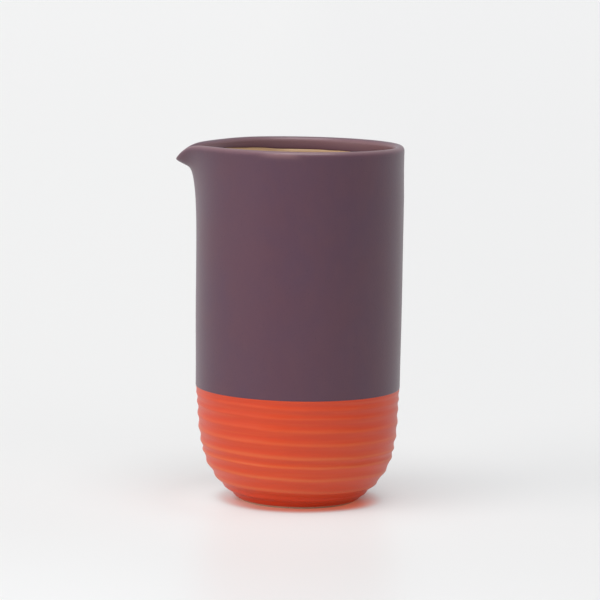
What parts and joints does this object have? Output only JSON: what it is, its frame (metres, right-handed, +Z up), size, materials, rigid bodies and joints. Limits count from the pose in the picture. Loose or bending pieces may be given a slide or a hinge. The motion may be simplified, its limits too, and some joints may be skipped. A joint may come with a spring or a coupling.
{
  "type": "jug",
  "caption": "Handleless thrown stoneware jug with a straight wall, a ribbed rounded base, a pulled pouring beak, matt aubergine and orange glazes outside and a cream liner inside.",
  "frame": {"origin": "middle of the flat foot, on the surface that the jug stands on", "axes": "+Z up along the wheel's axis, the beak points towards -X, +Y to the back when the beak is at the left"},
  "size_m": [0.1053, 0.0952, 0.1658],
  "materials": {
    "bare_stoneware": "matte",
    "matt_aubergine": "matte",
    "matt_orange": "matte",
    "cream_liner": "satin"
  },
  "bodies": {
    "root": {"stoneware_body": "bare_stoneware", "aubergine_glaze": "matt_aubergine", "orange_glaze": "matt_orange", "liner_glaze": "cream_liner"}
  },
  "joints": []
}
